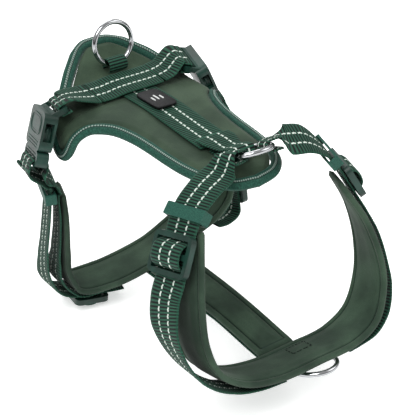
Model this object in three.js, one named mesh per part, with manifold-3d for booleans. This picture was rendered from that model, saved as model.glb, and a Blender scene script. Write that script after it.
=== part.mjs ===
// No-pull dog harness: a saddle pad with bound edge, ribbed webbing, two side-release
// buckles, four tri-glide sliders, padded chest and girth loops and three steel rings.
// Millimetres, +Z up, the dog faces -Y, and "left" and "right" are the dog's own sides.
// Points are measured from where the back straps cross, and the whole group is then
// moved so that the origin lies on the flat underside of the saddle.
import * as THREE from 'three';
import { mergeVertices } from 'three/addons/utils/BufferGeometryUtils.js';
import Module from 'manifold-3d';

const wasm = await Module();
wasm.setup();

// ---- driving dimensions -------------------------------------------------------------
const WEB_WIDTH = 25;             // main webbing
const WEB_THICK = 1.7;
const TAB_THICK = 1.2;            // thin webbing that holds the rings
const REAR_TAB_WIDTH = 14;
const SIDE_LOOP_WIDTH = 14;       // webbing narrowed where it passes a ring
const END_LOOP_WIDTH = 18;
const PAD_THICK = 5.5;
const SADDLE_THICK = 4.5;
const BINDING_WIDTH = 6.5;
const BINDING_THICK = 5.7;
const CLEAR = 0.35;               // gap between pieces that touch
const RING_WIRE = 1.7;            // radius of the ring wire
const REAR_RING_RADIUS = 14.4;    // to the middle of the wire
const FRONT_RING_RADIUS = 14;
const SADDLE_ORIGIN = new THREE.Vector3(0, 20, 2.5);

const BUCKLE_WIDTH = 33;
const BUCKLE_THICK = 9;
const BODY_LENGTH = 25;           // housing, from the bend to the open end
const PLUG_LENGTH = 10;           // plug base below the housing
const COLLAR_LENGTH = 7;
const WINDOW_LENGTH = 12;
const CAVITY_WIDTH = 27.6;
const CAVITY_THICK = 5.6;
const FRAME_LENGTH = 12.7;        // strap frame that bends in over the saddle
const FRAME_BAR = 4;
const FRAME_THICK = 3.6;
const FRAME_DROP = 38;            // degrees between the strap frame and the cross direction

const GLIDE_WIDTH = 32;
const GLIDE_LENGTH = 25;
const GLIDE_THICK = 4;
const GLIDE_BAR = 3.2;
const CENTRE_BAR = 3.6;

const STERNUM_WIDTH = 27;

const KEEPER_LENGTH = 8;
const KEEPER_WALL = 1.5;
const KEEPER_HEIGHT = 7.6;

// ---- colours ------------------------------------------------------------------------
const COLOURS = {
  neoprene: [0.27, 0.35, 0.29],
  webbing: [0.13, 0.32, 0.25],
  binding: [0.19, 0.39, 0.33],
  keeper: [0.24, 0.43, 0.37],
  plastic: [0.2, 0.33, 0.3],
  steel: [0.8, 0.8, 0.82],
  rubber: [0.03, 0.03, 0.035],
};
const FINISH = {
  neoprene: [0.85, 0],
  webbing: [0.7, 0],
  binding: [0.75, 0],
  keeper: [0.6, 0],
  plastic: [0.45, 0],
  steel: [0.12, 1],
  rubber: [0.6, 0],
};

const harness = new THREE.Group();
harness.position.copy(SADDLE_ORIGIN);

const V = (x, y, z) => new THREE.Vector3(x, y, z);

function add(name, geometry, look, parent = harness) {
  const material = new THREE.MeshStandardMaterial({
    color: new THREE.Color(...COLOURS[look]),
    roughness: FINISH[look][0],
    metalness: FINISH[look][1],
  });
  const mesh = new THREE.Mesh(geometry, material);
  mesh.name = name;
  parent.add(mesh);
  return mesh;
}

// ---- solids for cutting and joining ---------------------------------------------------
function toSolid(geometry) {
  const bare = geometry.clone();
  bare.deleteAttribute('normal');
  bare.deleteAttribute('uv');
  const merged = mergeVertices(bare, 1e-4);
  return new wasm.Manifold(new wasm.Mesh({
    numProp: 3,
    vertProperties: Float32Array.from(merged.attributes.position.array),
    triVerts: Uint32Array.from(merged.index.array),
  }));
}

function toGeometry(solid) {
  const mesh = solid.getMesh();
  const geometry = new THREE.BufferGeometry();
  geometry.setAttribute('position', new THREE.BufferAttribute(mesh.vertProperties, 3));
  geometry.setIndex(new THREE.BufferAttribute(mesh.triVerts, 1));
  return geometry;
}

// A box given by its middle and its three sizes.
function box(sizeX, sizeY, sizeZ, x = 0, y = 0, z = 0) {
  const geometry = new THREE.BoxGeometry(sizeX, sizeY, sizeZ);
  return geometry.translate(x, y, z);
}

// A plate in the YZ plane with round corners, centred on the origin.
function roundPlate(width, height, radius, depth) {
  const shape = new THREE.Shape();
  const w = width / 2;
  const h = height / 2;
  shape.moveTo(-w + radius, -h);
  shape.lineTo(w - radius, -h);
  shape.absarc(w - radius, -h + radius, radius, -Math.PI / 2, 0);
  shape.lineTo(w, h - radius);
  shape.absarc(w - radius, h - radius, radius, 0, Math.PI / 2);
  shape.lineTo(-w + radius, h);
  shape.absarc(-w + radius, h - radius, radius, Math.PI / 2, Math.PI);
  shape.lineTo(-w, -h + radius);
  shape.absarc(-w + radius, -h + radius, radius, Math.PI, Math.PI * 1.5);
  const geometry = new THREE.ExtrudeGeometry(shape, { depth, bevelEnabled: false, curveSegments: 4 });
  geometry.translate(0, 0, -depth / 2);
  geometry.rotateX(Math.PI / 2);
  geometry.rotateZ(Math.PI / 2);
  return geometry;
}

// ---- flat strips that follow a path -----------------------------------------------------
// The middle line runs through the points; "wide" is the direction of the strip's width at
// each point, and the width may change from point to point.
function strip(points, wide, width, thick, steps) {
  const path = new THREE.CatmullRomCurve3(points, false, 'centripetal');
  const last = points.length - 1;
  const at = (list, t) => {
    if (!Array.isArray(list)) return list;
    const k = Math.min(Math.floor(t * last), last - 1);
    const f = t * last - k;
    if (list[0].isVector3) return list[k].clone().lerp(list[k + 1], f);
    return list[k] + (list[k + 1] - list[k]) * f;
  };
  const geometry = new THREE.BoxGeometry(1, 1, 1, steps, 1, 1);
  const position = geometry.attributes.position;
  for (let i = 0; i < position.count; i += 1) {
    const t = Math.min(Math.max(position.getX(i) + 0.5, 0), 1);
    const centre = path.getPoint(t);
    const along = path.getTangent(t);
    const across = at(wide, t).clone();
    across.addScaledVector(along, -across.dot(along)).normalize();
    const up = along.clone().cross(across);
    centre.addScaledVector(across, position.getY(i) * at(width, t));
    centre.addScaledVector(up, position.getZ(i) * at(thick, t));
    position.setXYZ(i, centre.x, centre.y, centre.z);
  }
  return geometry;
}

const ALONG_Y = V(0, 1, 0);
const ALONG_X = V(1, 0, 0);

// ---- saddle pad ---------------------------------------------------------------------------
// Side view of the saddle's top face: height for each place from nose (-Y) to tail (+Y).
const SADDLE_PROFILE = [
  [-150, -10.5], [-143, -9], [-132, -6.6], [-118, -4.6], [-100, -3.4], [-80, -2], [-58, 0],
  [-42, 1.6], [-34, 2], [-22, 2], [-8, 2], [-2, 2.3], [8, 3.6], [15, 6.2], [25, 13.6], [35, 20.6],
  [48, 25],
];
// Half of the outline: [distance from the middle line over the fabric, Y].
const SADDLE_OUTLINE = [
  [0, 44], [10, 43], [19, 38], [31, 28], [43, 17], [53, 9], [62, 3.5], [72, -1], [80, -7], [82.5, -14],
  [79, -21.5], [70, -27.5], [60, -31], [50, -35.5], [43, -44], [38.5, -58], [36.5, -74], [35.5, -92],
  [34, -106], [31, -118], [25.5, -129], [16, -137], [0, -140.5],
];
// How each side drapes over the ribs: where the bend starts, its radius and its angle.
const DRAPE_RIGHT = [48, 14, 1.45];
const DRAPE_LEFT = [41, 9, 1.6];

function smooth(edge0, edge1, value) {
  const t = Math.min(Math.max((value - edge0) / (edge1 - edge0), 0), 1);
  return t * t * (3 - 2 * t);
}

function profileHeight(y) {
  let k = 0;
  while (k < SADDLE_PROFILE.length - 2 && y > SADDLE_PROFILE[k + 1][0]) k += 1;
  const [y0, z0] = SADDLE_PROFILE[k];
  const [y1, z1] = SADDLE_PROFILE[k + 1];
  return z0 + (z1 - z0) * (y - y0) / (y1 - y0);
}

// A place on the saddle's top face, "lift" above it.
function onSaddle(s, y, lift = 0) {
  const [start, radius, angle] = s > 0 ? DRAPE_LEFT : DRAPE_RIGHT;
  const reach = Math.abs(s);
  const bend = Math.min(Math.max(reach - start, 0) / radius, angle);
  const hang = Math.max(reach - start - angle * radius, 0);
  const roll = smooth(24, 60, reach);
  const sag = 3.5 * roll * (1 - smooth(10, 28, y)) - 4 * roll * smooth(14, 30, y);
  const x = Math.min(reach, start) + radius * Math.sin(bend) + hang * Math.cos(angle);
  const drop = radius * (1 - Math.cos(bend)) + hang * Math.sin(angle);
  const point = V(x, y, profileHeight(y) - sag - drop);
  point.addScaledVector(V(Math.sin(bend), 0, Math.cos(bend)), lift);
  point.x *= Math.sign(s) || 1;
  return point;
}

function saddleOutline(count, inset) {
  const line = new THREE.CatmullRomCurve3(SADDLE_OUTLINE.map(([s, y]) => V(s, y, 0)), false, 'centripetal');
  const rows = [];
  for (let i = 0; i <= count; i += 1) {
    const spot = line.getPointAt(i / count);
    const along = line.getTangentAt(i / count);
    rows.push([spot.x + along.y * inset, spot.y - along.x * inset]);
  }
  return rows;
}

// Joins rings of four corners into one closed body.
function loft(rings, closed) {
  const corners = rings.flat();
  const positions = corners.flatMap((p) => [p.x, p.y, p.z]);
  const n = rings[0].length;
  const index = [];
  const spans = closed ? rings.length : rings.length - 1;
  for (let i = 0; i < spans; i += 1) {
    for (let k = 0; k < n; k += 1) {
      const a = i * n + k;
      const b = i * n + (k + 1) % n;
      const c = ((i + 1) % rings.length) * n + k;
      const d = ((i + 1) % rings.length) * n + (k + 1) % n;
      index.push(a, b, d, a, d, c);
    }
  }
  const geometry = new THREE.BufferGeometry();
  geometry.setAttribute('position', new THREE.Float32BufferAttribute(positions, 3));
  geometry.setIndex(index);
  return geometry;
}

function saddlePad() {
  const inset = BINDING_WIDTH + 4 * CLEAR;
  const rows = saddleOutline(44, inset).filter(([s]) => s > 3);
  const columns = 17;
  const geometry = new THREE.BoxGeometry(1, 1, 1, columns, rows.length - 1, 1);
  const position = geometry.attributes.position;
  for (let i = 0; i < position.count; i += 1) {
    const row = Math.round((0.5 - position.getY(i)) * (rows.length - 1));
    const [half, y] = rows[row];
    const s = position.getX(i) * 2 * half;
    const lift = position.getZ(i) > 0 ? 0 : -SADDLE_THICK;
    const point = onSaddle(s, y, lift);
    position.setXYZ(i, point.x, point.y, point.z);
  }
  return geometry;
}

function saddleBinding() {
  const outer = saddleOutline(44, 0);
  const inner = saddleOutline(44, BINDING_WIDTH);
  const over = (BINDING_THICK - SADDLE_THICK) / 2;
  const ring = (i, side) => [
    onSaddle(side * outer[i][0], outer[i][1], -SADDLE_THICK - over),
    onSaddle(side * outer[i][0], outer[i][1], over),
    onSaddle(side * Math.max(inner[i][0], 0), inner[i][1], over),
    onSaddle(side * Math.max(inner[i][0], 0), inner[i][1], -SADDLE_THICK - over),
  ];
  const rings = [];
  for (let i = 0; i < 44; i += 1) rings.push(ring(i, 1));
  for (let i = 44; i > 0; i -= 1) rings.push(ring(i, -1));
  return loft(rings, true);
}

add('saddle_pad', saddlePad(), 'neoprene');
add('saddle_binding', saddleBinding(), 'binding');

// ---- webbing on the back --------------------------------------------------------------------
const CROSS_TILT = V(0, 1, 0.12);

// The near half runs flat to the buckle, the far half humps up before it: +1 is the dog's left.
const CROSS_LEFT = [[18.5, -2.6, 7.3], [12.5, -2.6, 7.1], [6, -2.6, 7.1], [0, -2.6, 7.2]];
const CROSS_RIGHT = [[-12.5, -2.6, 6.9], [-21, -2.6, 5.9], [-29, -2.6, 6]];

const crossPoints = [...CROSS_LEFT, ...CROSS_RIGHT].map((p) => V(...p));
add('cross_strap', strip(crossPoints, CROSS_TILT, WEB_WIDTH, WEB_THICK, 18), 'webbing');

const spinePoints = [
  V(0, -3, 3.8), V(0, -14, 3.3), V(0, -34, 3.3), V(0, -58, 1.7), V(0, -80, 0), V(0, -97, -0.9),
];
add('spine_strap', strip(spinePoints, ALONG_X, WEB_WIDTH, WEB_THICK, 16), 'webbing');

// Neck ring: it lies nose up over the front of the saddle, held by three loops of webbing.
const NECK_RING = V(0, -129, 7);
const NECK_TILT = 0.42;           // radians, front edge up

function ring(radius) {
  return new THREE.TorusGeometry(radius, RING_WIRE, 8, 40);
}

const neckRing = add('neck_ring', ring(FRONT_RING_RADIUS), 'steel');
neckRing.position.copy(NECK_RING);
neckRing.rotation.x = -NECK_TILT;

// Points of a loop of webbing over the ring's wire at the given angle, with the strap's
// thickness and half its width; the inner turn clears the wire over the whole width.
function ringLoop(centre, tilt, angle, halfWidth) {
  const place = (r, h) => {
    const point = V(r * Math.cos(angle), r * Math.sin(angle), h);
    return point.applyAxisAngle(ALONG_X, -tilt).add(centre);
  };
  const wireInside = FRONT_RING_RADIUS - RING_WIRE;
  const turn = Math.sqrt(wireInside ** 2 - halfWidth ** 2) - WEB_THICK / 2 - 0.8;
  const over = RING_WIRE + WEB_THICK / 2 + 0.7;
  const sideways = V(-Math.sin(angle), Math.cos(angle), 0).applyAxisAngle(ALONG_X, -tilt);
  const points = [
    place(FRONT_RING_RADIUS + 5, over), place(FRONT_RING_RADIUS - 1, over),
    place(turn + 1, over * 0.7), place(turn, 0), place(turn + 1, -over * 0.7),
    place(FRONT_RING_RADIUS - 1, -over), place(FRONT_RING_RADIUS + 5, -over),
  ];
  return { points, sideways };
}

function spineLoop() {
  const { points, sideways } = ringLoop(NECK_RING, NECK_TILT, Math.PI / 2, END_LOOP_WIDTH / 2);
  const under = [V(0, -110, -2.3), V(0, -101, -2)];
  const all = [V(0, -92, 2.4), V(0, -99, 2.6), ...points.slice(0, 6), ...under];
  const width = all.map((_, k) => (k < 2 ? WEB_WIDTH : END_LOOP_WIDTH));
  return strip(all, sideways, width, WEB_THICK, 44);
}
add('spine_loop', spineLoop(), 'webbing');

function labelPatch() {
  const plate = roundPlate(17, 27, 8, 1.4);
  plate.rotateY(Math.PI / 2);
  plate.rotateZ(Math.PI / 2);
  plate.rotateX(0.02);
  return plate.translate(0, -33, 5.4);
}
add('label_patch', labelPatch(), 'rubber');

// Rear ring: it stands in a folded tab behind the crossing of the straps.
const REAR_PIVOT = V(0, 15, 13);
const REAR_LEAN = 0.1;            // radians, top towards the tail
const rearRing = add('rear_ring', ring(REAR_RING_RADIUS), 'steel');
rearRing.rotation.x = Math.PI / 2 - REAR_LEAN;
rearRing.position.copy(REAR_PIVOT);
rearRing.position.y += REAR_RING_RADIUS * Math.sin(REAR_LEAN);
rearRing.position.z += REAR_RING_RADIUS * Math.cos(REAR_LEAN);

// The tab turns round the wire and is sewn down in front of it and behind it.
const REAR_TAB_RADIUS = 4.7;
const REAR_TAB_START = 245;       // degrees, from the tail towards the top
const REAR_TAB_SWEEP = 285;

function rearTab() {
  const points = [];
  for (let i = 0; i <= 12; i += 1) {
    const angle = THREE.MathUtils.degToRad(REAR_TAB_START - REAR_TAB_SWEEP * i / 12);
    const reach = V(0, Math.cos(angle), Math.sin(angle)).multiplyScalar(REAR_TAB_RADIUS);
    points.push(reach.add(REAR_PIVOT));
  }
  return strip(points, ALONG_X, REAR_TAB_WIDTH, TAB_THICK, 28);
}
add('rear_ring_tab', rearTab(), 'webbing');

// ---- shoulder straps -------------------------------------------------------------------------
// Each runs from the neck ring through a keeper and behind a tri-glide, swings out and comes
// back under the chest pad. side is +1 for the dog's left and -1 for its right.
const SHOULDER_RIGHT = [
  [25, -132.5, 2.6], [38, -136, -1.6], [50.5, -139.5, -8], [58, -142, -15.4], [66.7, -146.4, -31],
  [73.3, -149.8, -43], [80, -153.2, -55], [84.5, -160, -69], [82, -167, -84], [73, -174, -99],
  [57, -177, -111.5], [38, -178, -117.6], [18, -178.5, -119.6],
];
const SHOULDER_LEFT = [
  [25, -134, 9.4], [37, -136.5, 7], [48, -139.5, -1], [54.5, -141.2, -9.5], [60.3, -143.6, -20],
  [66.9, -146.4, -32], [74, -149.6, -45], [78.6, -155, -58], [80, -163, -76], [78, -170, -92],
  [71, -175, -106], [57, -177.5, -117.4], [43, -178, -120], [33, -178.5, -120.4],
];
const SHOULDER_ACROSS = { left: V(0.33, 0.94, 0), right: V(0, 1, 0) };
const SHOULDER_ROLL = { left: [0.4, 0.32, 0.1], right: [0, 0, 0] };
const UNDER_CHEST = V(0, 1, -0.2);

const sided = (list, side) => list.map(([x, y, z]) => V(side * x, y, z));

function shoulderStrap(hand, side) {
  const angle = side > 0 ? -0.2 : Math.PI + 0.2;
  const { points, sideways } = ringLoop(NECK_RING, NECK_TILT, angle, SIDE_LOOP_WIDTH / 2);
  const across = sideways.y > 0 ? sideways : sideways.negate();
  const route = sided(side > 0 ? SHOULDER_LEFT : SHOULDER_RIGHT, side);
  const all = [...points.reverse(), ...route];
  const last = all.length - 1;
  const wide = all.map((_, k) => {
    if (k < 7) return across.clone();
    if (k < 10) return SHOULDER_ACROSS[hand].clone().add(V(0, 0, SHOULDER_ROLL[hand][k - 7]));
    return k > last - 3 ? UNDER_CHEST.clone() : SHOULDER_ACROSS[hand].clone();
  });
  const width = all.map((_, k) => (k < 7 ? SIDE_LOOP_WIDTH : WEB_WIDTH));
  return strip(all, wide, width, WEB_THICK, 84);
}

// The direction that faces away from the dog on a strap that runs "up" with its width "across".
function facing(up, across, outward) {
  const out = across.clone().cross(up).normalize();
  return out.dot(outward) < 0 ? out.negate() : out;
}

// A group whose local Z runs up the strap, whose X points away from the dog and whose Y
// lies across the strap.
function seat(centre, up, outward, offset = 0) {
  const z = up.clone().normalize();
  const x = outward.clone().addScaledVector(z, -outward.dot(z)).normalize();
  const y = z.clone().cross(x);
  const group = new THREE.Group();
  group.matrixAutoUpdate = false;
  group.matrix.makeBasis(x, y, z);
  group.matrix.setPosition(centre.clone().addScaledVector(x, offset));
  harness.add(group);
  return group;
}

// A moulded loop that holds the strap down at the top of a pad.
function keeper(name, centre, up, outward) {
  const hollow = KEEPER_HEIGHT - 2 * KEEPER_WALL;
  const outer = toSolid(roundPlate(WEB_WIDTH + 2 * KEEPER_WALL + 2, KEEPER_LENGTH, 1, KEEPER_HEIGHT));
  const inner = toSolid(box(hollow, WEB_WIDTH + 2, KEEPER_LENGTH + 2));
  add(name, toGeometry(outer.subtract(inner)), 'keeper', seat(centre, up, outward));
}

// A tri-glide: a frame with two slots and the stretch of webbing that humps over its bar.
const GLIDE_SLOT = (GLIDE_LENGTH - 2 * GLIDE_BAR - CENTRE_BAR) / 2;
const GLIDE_LIFT = WEB_THICK / 2 + 1.5 * CLEAR + GLIDE_THICK / 2;
const GLIDE_HUMP = [
  [-1, 8], [1.8, 6.8], [4.2, 4.2], [5, 0], [4.2, -4.2], [1.8, -6.8], [-1, -8],
];

function triGlide(name, centre, up, outward) {
  let frame = toSolid(roundPlate(GLIDE_WIDTH, GLIDE_LENGTH, 4, GLIDE_THICK));
  const shift = (CENTRE_BAR + GLIDE_SLOT) / 2;
  for (const z of [-shift, shift]) {
    frame = frame.subtract(toSolid(box(GLIDE_THICK + 2, WEB_WIDTH + 1, GLIDE_SLOT, 0, 0, z)));
  }
  const group = seat(centre, up, outward, GLIDE_LIFT);
  add(`${name}_slider`, toGeometry(frame), 'plastic', group);
  const hump = GLIDE_HUMP.map(([x, z]) => V(x, 0, z));
  add(`${name}_slider_webbing`, strip(hump, ALONG_Y, WEB_WIDTH - 1, WEB_THICK, 18), 'webbing', group);
}

for (const [side, hand] of [[1, 'left'], [-1, 'right']]) {
  const route = sided(side > 0 ? SHOULDER_LEFT : SHOULDER_RIGHT, side);
  const across = SHOULDER_ACROSS[hand];
  add(`shoulder_strap_${hand}`, shoulderStrap(hand, side), 'webbing');
  const slope = route[2].clone().sub(route[3]);
  keeper(`shoulder_keeper_${hand}`, route[2].clone().lerp(route[3], 0.5), slope, facing(slope, across, V(side, 0, 0)));
  const run = route[4].clone().sub(route[6]);
  triGlide(`shoulder_${hand}`, route[4].clone().lerp(route[5], side > 0 ? 0.25 : 0.05), run, facing(run, across, V(side, 0, 0)));
}

// ---- chest pad --------------------------------------------------------------------------------
const CHEST_PATH = [
  [-54.5, -145, -20], [-62.5, -152, -41], [-68.5, -159, -60], [-70, -166, -80], [-64, -171, -97.5],
  [-48, -174.5, -109.5], [-24, -177, -115], [8, -177, -116], [38, -176.5, -115.5], [57, -174, -108],
  [67.5, -169, -90], [70, -163, -70], [65, -155, -44], [53.8, -146, -20.5],
];
const CHEST_WIDTHS = [22, 30, 34, 34, 34, 34, 34, 34, 34, 34, 34, 34, 30, 22];

const chestPoints = CHEST_PATH.map((p) => V(...p));
const chestWide = chestPoints.map((p, k) => {
  if (k < 9) return UNDER_CHEST.clone();
  return UNDER_CHEST.clone().lerp(V(0.35, 0.94, 0), (k - 8) / 5);
});
add('chest_pad', strip(chestPoints, chestWide, CHEST_WIDTHS, PAD_THICK, 44), 'neoprene');

// ---- girth pad --------------------------------------------------------------------------------
const GIRTH_ACROSS = { left: V(0, 1, 0), right: V(0.33, 0.94, 0) };

// The upright stretches turn with the buckle, the stretch under the chest lies straight.
function girthAcross(hand, point) {
  return ALONG_Y.clone().lerp(GIRTH_ACROSS[hand], smooth(-128, -98, point.z));
}

const GIRTH_PATH = [
  [-57, -1, -56], [-56.4, -1, -72], [-58.2, -2, -95], [-61, -3, -113], [-56, -6, -126.5],
  [-34, -13, -126.5], [0, -22, -115], [28, -22, -104.5], [50, -20, -97], [62, -16, -87],
  [64.6, -9, -66], [63.4, -6, -47],
];
const GIRTH_WIDTHS = [20, 28, 34, 34, 34, 34, 34, 34, 34, 34, 30, 20];
const girthPoints = GIRTH_PATH.map((p) => V(...p));
const girthWide = girthPoints.map((p) => girthAcross(p.x > 0 ? 'left' : 'right', p));
add('girth_pad', strip(girthPoints, girthWide, GIRTH_WIDTHS, PAD_THICK, 44), 'neoprene');

// ---- breastbone strap -------------------------------------------------------------------------
const sternumWide = [V(1, 0, 0.35), V(1, 0, 0.2), V(1, 0, 0.05), V(1, 0, 0)];
const sternumPoints = [V(0, -40.6, -114.5), V(0, -70, -114), V(0, -110, -114.5), V(0, -159.2, -119.6)];
add('sternum_pad', strip(sternumPoints, sternumWide, STERNUM_WIDTH, PAD_THICK, 14), 'neoprene');

const underPoints = [
  V(0, -6, -120.2), V(0, -22, -120), V(0, -60, -119.5), V(0, -110, -118.8), V(0, -150, -123.1),
  V(0, -163, -123.6),
];
const underWide = [0.36, 0.36, 0.27, 0.06, 0, 0].map((rise) => V(1, 0, rise));
add('sternum_webbing', strip(underPoints, underWide, WEB_WIDTH - 1, WEB_THICK, 20), 'webbing');

// Chest ring: it lies in front of the chest pad in a folded tab.
const CHEST_RING = V(10, -184, -121.4);
const CHEST_TILT = 0.25;
const chestRing = add('chest_ring', ring(FRONT_RING_RADIUS), 'steel');
chestRing.position.copy(CHEST_RING);
chestRing.rotation.x = -CHEST_TILT;

function chestTab() {
  const { points, sideways } = ringLoop(CHEST_RING, CHEST_TILT, Math.PI / 2, END_LOOP_WIDTH / 2);
  const all = [...points.slice(0, 6), points[5].clone().lerp(points[6], 0.5), V(CHEST_RING.x, -164.8, -125.8)];
  return strip(all, sideways, END_LOOP_WIDTH, WEB_THICK, 44);
}
add('chest_ring_tab', chestTab(), 'webbing');

// ---- side-release buckles -----------------------------------------------------------------------
// Local frame of each: X away from the dog, Y across the strap, Z up towards the back.
const BUCKLES = {
  left: { top: V(51, -3, 10.5), down: V(15, 1, -31), outward: V(1, -0.25, 0) },
  right: { top: V(-65, -4, 5.4), down: V(-12, -3, -31), outward: V(-0.96, 0.27, 0) },
};
const FRAME_SEAT = -2.6;          // where the frame's middle plane meets the body's
const FRAME_ROOT = 3;             // how far the frame reaches into the body
const FRAME_SLOT = 4.2;           // from the bend to the strap slot
const PLUG_GAP = 0.4;
const PLUG_BAR = 2.1;
const PLUG_OPENING = 4.5;
const ARM_LENGTH = 16;
const ARM_WIDTH = 4;
const ARM_REACH = 13.3;           // outer face of the squeeze arms

function buckleHousing() {
  let solid = toSolid(roundPlate(BUCKLE_WIDTH, BODY_LENGTH, 4, BUCKLE_THICK).translate(0, 0, -BODY_LENGTH / 2));
  const lean = THREE.MathUtils.degToRad(FRAME_DROP);
  const frame = roundPlate(BUCKLE_WIDTH - 4, FRAME_LENGTH + FRAME_ROOT, 4, FRAME_THICK);
  frame.rotateY(-Math.PI / 2 + lean);
  const middle = (FRAME_LENGTH - FRAME_ROOT) / 2;
  frame.translate(-middle * Math.cos(lean), 0, FRAME_SEAT + middle * Math.sin(lean));
  solid = solid.add(toSolid(frame));
  const slotLength = FRAME_LENGTH - FRAME_BAR - FRAME_SLOT;
  const slotMiddle = FRAME_SLOT + slotLength / 2;
  const slot = box(FRAME_THICK + 4, WEB_WIDTH + 1, slotLength);
  slot.rotateY(-Math.PI / 2 + lean);
  slot.translate(-slotMiddle * Math.cos(lean), 0, FRAME_SEAT + slotMiddle * Math.sin(lean));
  solid = solid.subtract(toSolid(slot));
  const cavityLength = BODY_LENGTH - 6;
  solid = solid.subtract(toSolid(box(CAVITY_THICK, CAVITY_WIDTH, cavityLength, 0, 0, -BODY_LENGTH + cavityLength / 2 - 1)));
  const windowZ = -BODY_LENGTH + COLLAR_LENGTH + WINDOW_LENGTH / 2;
  solid = solid.subtract(toSolid(box(CAVITY_THICK, BUCKLE_WIDTH + 4, WINDOW_LENGTH, 0, 0, windowZ)));
  return toGeometry(solid);
}

function bucklePlug() {
  const base = roundPlate(BUCKLE_WIDTH - 1.5, PLUG_LENGTH, 3.5, BUCKLE_THICK - 1);
  base.translate(0, 0, -BODY_LENGTH - PLUG_GAP - PLUG_LENGTH / 2);
  let solid = toSolid(base);
  const tongue = box(CAVITY_THICK - 1, 9, ARM_LENGTH + 1, 0, 0, -BODY_LENGTH + ARM_LENGTH / 2 - 0.5);
  solid = solid.add(toSolid(tongue));
  const slotZ = -BODY_LENGTH - PLUG_GAP - PLUG_LENGTH + PLUG_BAR + PLUG_OPENING / 2;
  solid = solid.subtract(toSolid(box(BUCKLE_WIDTH, WEB_WIDTH + 1, PLUG_OPENING, 0, 0, slotZ)));
  return toGeometry(solid);
}

function squeezeArm(turned) {
  const shape = new THREE.Shape();
  const outer = ARM_REACH;
  const inner = ARM_REACH - ARM_WIDTH;
  shape.moveTo(inner, 0);
  shape.lineTo(outer, 0);
  shape.lineTo(outer, ARM_LENGTH - 4);
  shape.lineTo(outer - 2.4, ARM_LENGTH);
  shape.lineTo(inner, ARM_LENGTH);
  const depth = CAVITY_THICK - 1;
  const arm = new THREE.ExtrudeGeometry(shape, { depth, bevelEnabled: false });
  arm.translate(0, 0, -depth / 2);
  arm.rotateX(Math.PI / 2);
  arm.rotateZ(Math.PI / 2);
  if (turned) arm.rotateZ(Math.PI);
  return arm.translate(0, 0, -BODY_LENGTH);
}

// The folded end of a cross strap: it comes over the frame's end bar, goes down through the
// slot and turns back under the bar. Measured along and above the frame.
const FOLD = [[15, 3.4], [10.7, 3.3], [7.6, 2.9], [6.7, 0], [7.6, -2.9], [10.7, -3.2], [14.4, -3.2]];
const FOLD_START = { left: [V(19.6, -2.6, 7.4), V(27, -2.2, 8.8)], right: [V(-30.2, -2.6, 6), V(-33, -2.6, 6.1)] };

function strapFold(hand, matrix) {
  const lean = THREE.MathUtils.degToRad(FRAME_DROP);
  const place = ([along, above]) => V(
    -along * Math.cos(lean) + above * Math.sin(lean),
    0,
    FRAME_SEAT + along * Math.sin(lean) + above * Math.cos(lean),
  ).applyMatrix4(matrix);
  const points = [...FOLD_START[hand], ...FOLD.map(place)];
  const across = V(0, 1, 0).transformDirection(matrix);
  if (across.y < 0) across.negate();
  const wide = points.map((_, k) => (k < 2 ? CROSS_TILT.clone() : across.clone()));
  return strip(points, wide, WEB_WIDTH, WEB_THICK, 30);
}

// ---- girth webbing --------------------------------------------------------------------------------
// One strap each side: up behind the plug, through its slot, down the outside through the
// keeper and a tri-glide, and back in under the pad.
const PLUG_SLOT = [
  [-5.4, -41], [-5.9, -37], [-5.2, -32.6], [-2.5, -31.1], [2.5, -31.1], [5.2, -32.6], [5.9, -37],
  [5.4, -41],
];
const GIRTH_INNER = {
  left: [[42, -21.3, -105.2], [55, -20, -101.2], [65.8, -16.4, -91], [69.4, -9.5, -68], [67.6, -6, -50], [67.2, -5, -42]],
  right: [
    [-38, -12, -131.8], [-57, -6.6, -132.2], [-67.2, -4, -118], [-65, -2.6, -104], [-62.4, -2, -88],
    [-60.8, -1.4, -72], [-61.2, -1.4, -60], [-61.8, -1.8, -49.5], [-66, -4.5, -43.5],
  ],
};
const GIRTH_OUTER = {
  left: [
    [75.5, -4, -37], [73.8, -5, -44], [73.6, -6.4, -56], [74.6, -8.4, -72], [75.7, -10.4, -88],
    [76, -12.2, -101], [72.5, -15, -109.5], [62, -18.4, -111.6], [50, -20.6, -109.6],
  ],
  right: [
    [-75, -3.4, -40.5], [-69.6, -2, -44.5], [-67.6, -1.2, -49], [-67, -0.8, -58], [-69, -0.4, -76],
    [-71.6, 0, -94], [-73.6, -0.5, -109], [-72.6, -1, -121], [-67.5, -1.6, -130], [-58, -2.4, -135],
    [-49, -3.5, -136.3], [-40.5, -4.6, -137.5], [-32, -5.7, -138.7], [-20, -8, -139.4],
  ],
};

function girthWebbing(hand, matrix) {
  const turn = PLUG_SLOT.map(([x, z]) => V(x, 0, z).applyMatrix4(matrix));
  const inner = sided(GIRTH_INNER[hand], 1);
  const outer = sided(GIRTH_OUTER[hand], 1);
  const across = V(0, 1, 0).transformDirection(matrix);
  if (across.y < 0) across.negate();
  const along = (points) => points.map((p) => girthAcross(hand, p));
  const wide = [...along(inner), ...turn.map(() => across.clone()), ...along(outer)];
  const width = wide.map((_, k) => (k > inner.length && k < inner.length + 6 ? WEB_WIDTH - 1 : WEB_WIDTH));
  return strip([...inner, ...turn, ...outer], wide, width, WEB_THICK, 110);
}

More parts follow.
